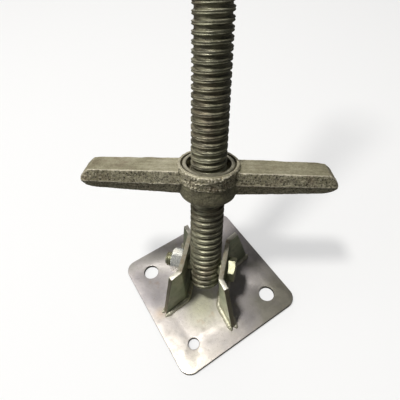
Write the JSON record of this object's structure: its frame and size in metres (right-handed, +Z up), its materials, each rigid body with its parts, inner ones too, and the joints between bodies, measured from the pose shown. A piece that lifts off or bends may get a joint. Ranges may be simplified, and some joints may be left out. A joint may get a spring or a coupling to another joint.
{
  "type": "swivel screw jack base for frame scaffolding",
  "caption": "Swivel screw jack base for frame scaffolding: square plate, two welded brackets, pivoting threaded screw and a two-armed handle nut.",
  "frame": {"origin": "centre of the square base plate's underside, where it meets the floor", "axes": "+Z up from the floor, X along the pivot bolt and one diagonal of the plate, Y along the other diagonal; at rest the screw tips 18 degrees towards +Y"},
  "size_m": [0.2438, 0.2992, 0.6122],
  "materials": {
    "zinc_plate": "satin zinc plating with a faint lilac and cream tint",
    "weld": "plated weld bead",
    "fastener": "bright zinc plating",
    "screw_steel": "dull weathered zinc on rolled thread",
    "nut_casting": "rough galvanised casting",
    "ring_steel": "worn turned steel"
  },
  "bodies": {
    "base": {"base_plate": "zinc_plate", "bracket_right": "zinc_plate", "bracket_left": "zinc_plate", "weld_outer_right": "weld", "weld_outer_left": "weld", "weld_inner_right": "weld", "weld_inner_left": "weld", "pivot_bolt": "fastener", "pivot_nut": "fastener"},
    "screw": {"screw": "screw_steel"},
    "ring": {"bearing_ring": "ring_steel"},
    "nut": {"handle_nut": "nut_casting"}
  },
  "joints": [
    {"name": "base_swivel", "type": "hinge", "parent": "base", "child": "screw", "pos_m": [0, 0, 0.0493], "axis": [1, 0, 0], "range_deg": [-27, 63]},
    {"name": "nut_travel", "type": "slide", "parent": "screw", "child": "ring", "axis": [0, 0.309, 0.9511], "range_m": [-0.03992, 0.42817]},
    {"name": "nut_turn", "type": "hinge", "parent": "ring", "child": "nut", "pos_m": [0, 0.04067, 0.17446], "axis": [0, 0.309, 0.9511], "range_deg": [-1980, 21240]}
  ],
  "couplings": [
    {"joint": "nut_travel", "follows": "nut_turn", "m_per_rad": 0.001155}
  ]
}
